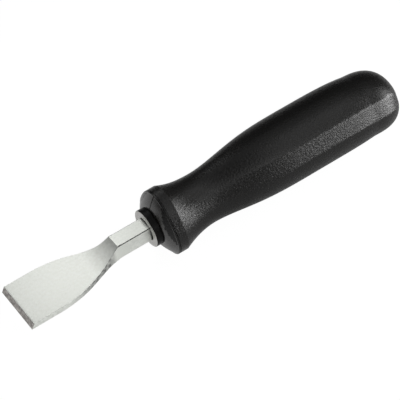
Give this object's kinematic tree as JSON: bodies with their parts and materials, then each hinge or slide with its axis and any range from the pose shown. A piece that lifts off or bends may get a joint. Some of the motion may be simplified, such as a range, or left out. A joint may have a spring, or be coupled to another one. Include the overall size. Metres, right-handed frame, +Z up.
{
  "type": "flat scraper",
  "caption": "Flat scraper with a forged steel blade on a square shank, a short black collar and a black plastic handle with three flattened sides.",
  "frame": {"origin": "under the middle of the tool's length, on its middle plane, at the height of the lowest line of the handle's belly", "axes": "+X from the blade's working end to the butt of the handle, +Z up at right angles to the blade's flat, +Y across the blade"},
  "size_m": [0.1544, 0.025, 0.0247],
  "materials": {
    "blade_steel": "satin, fine polished grain",
    "collar_black": "gloss black, bright end face",
    "handle_plastic": "fine spark texture, smooth front face"
  },
  "bodies": {
    "root": {"blade": "blade_steel", "collar": "collar_black", "handle": "handle_plastic"}
  },
  "joints": []
}
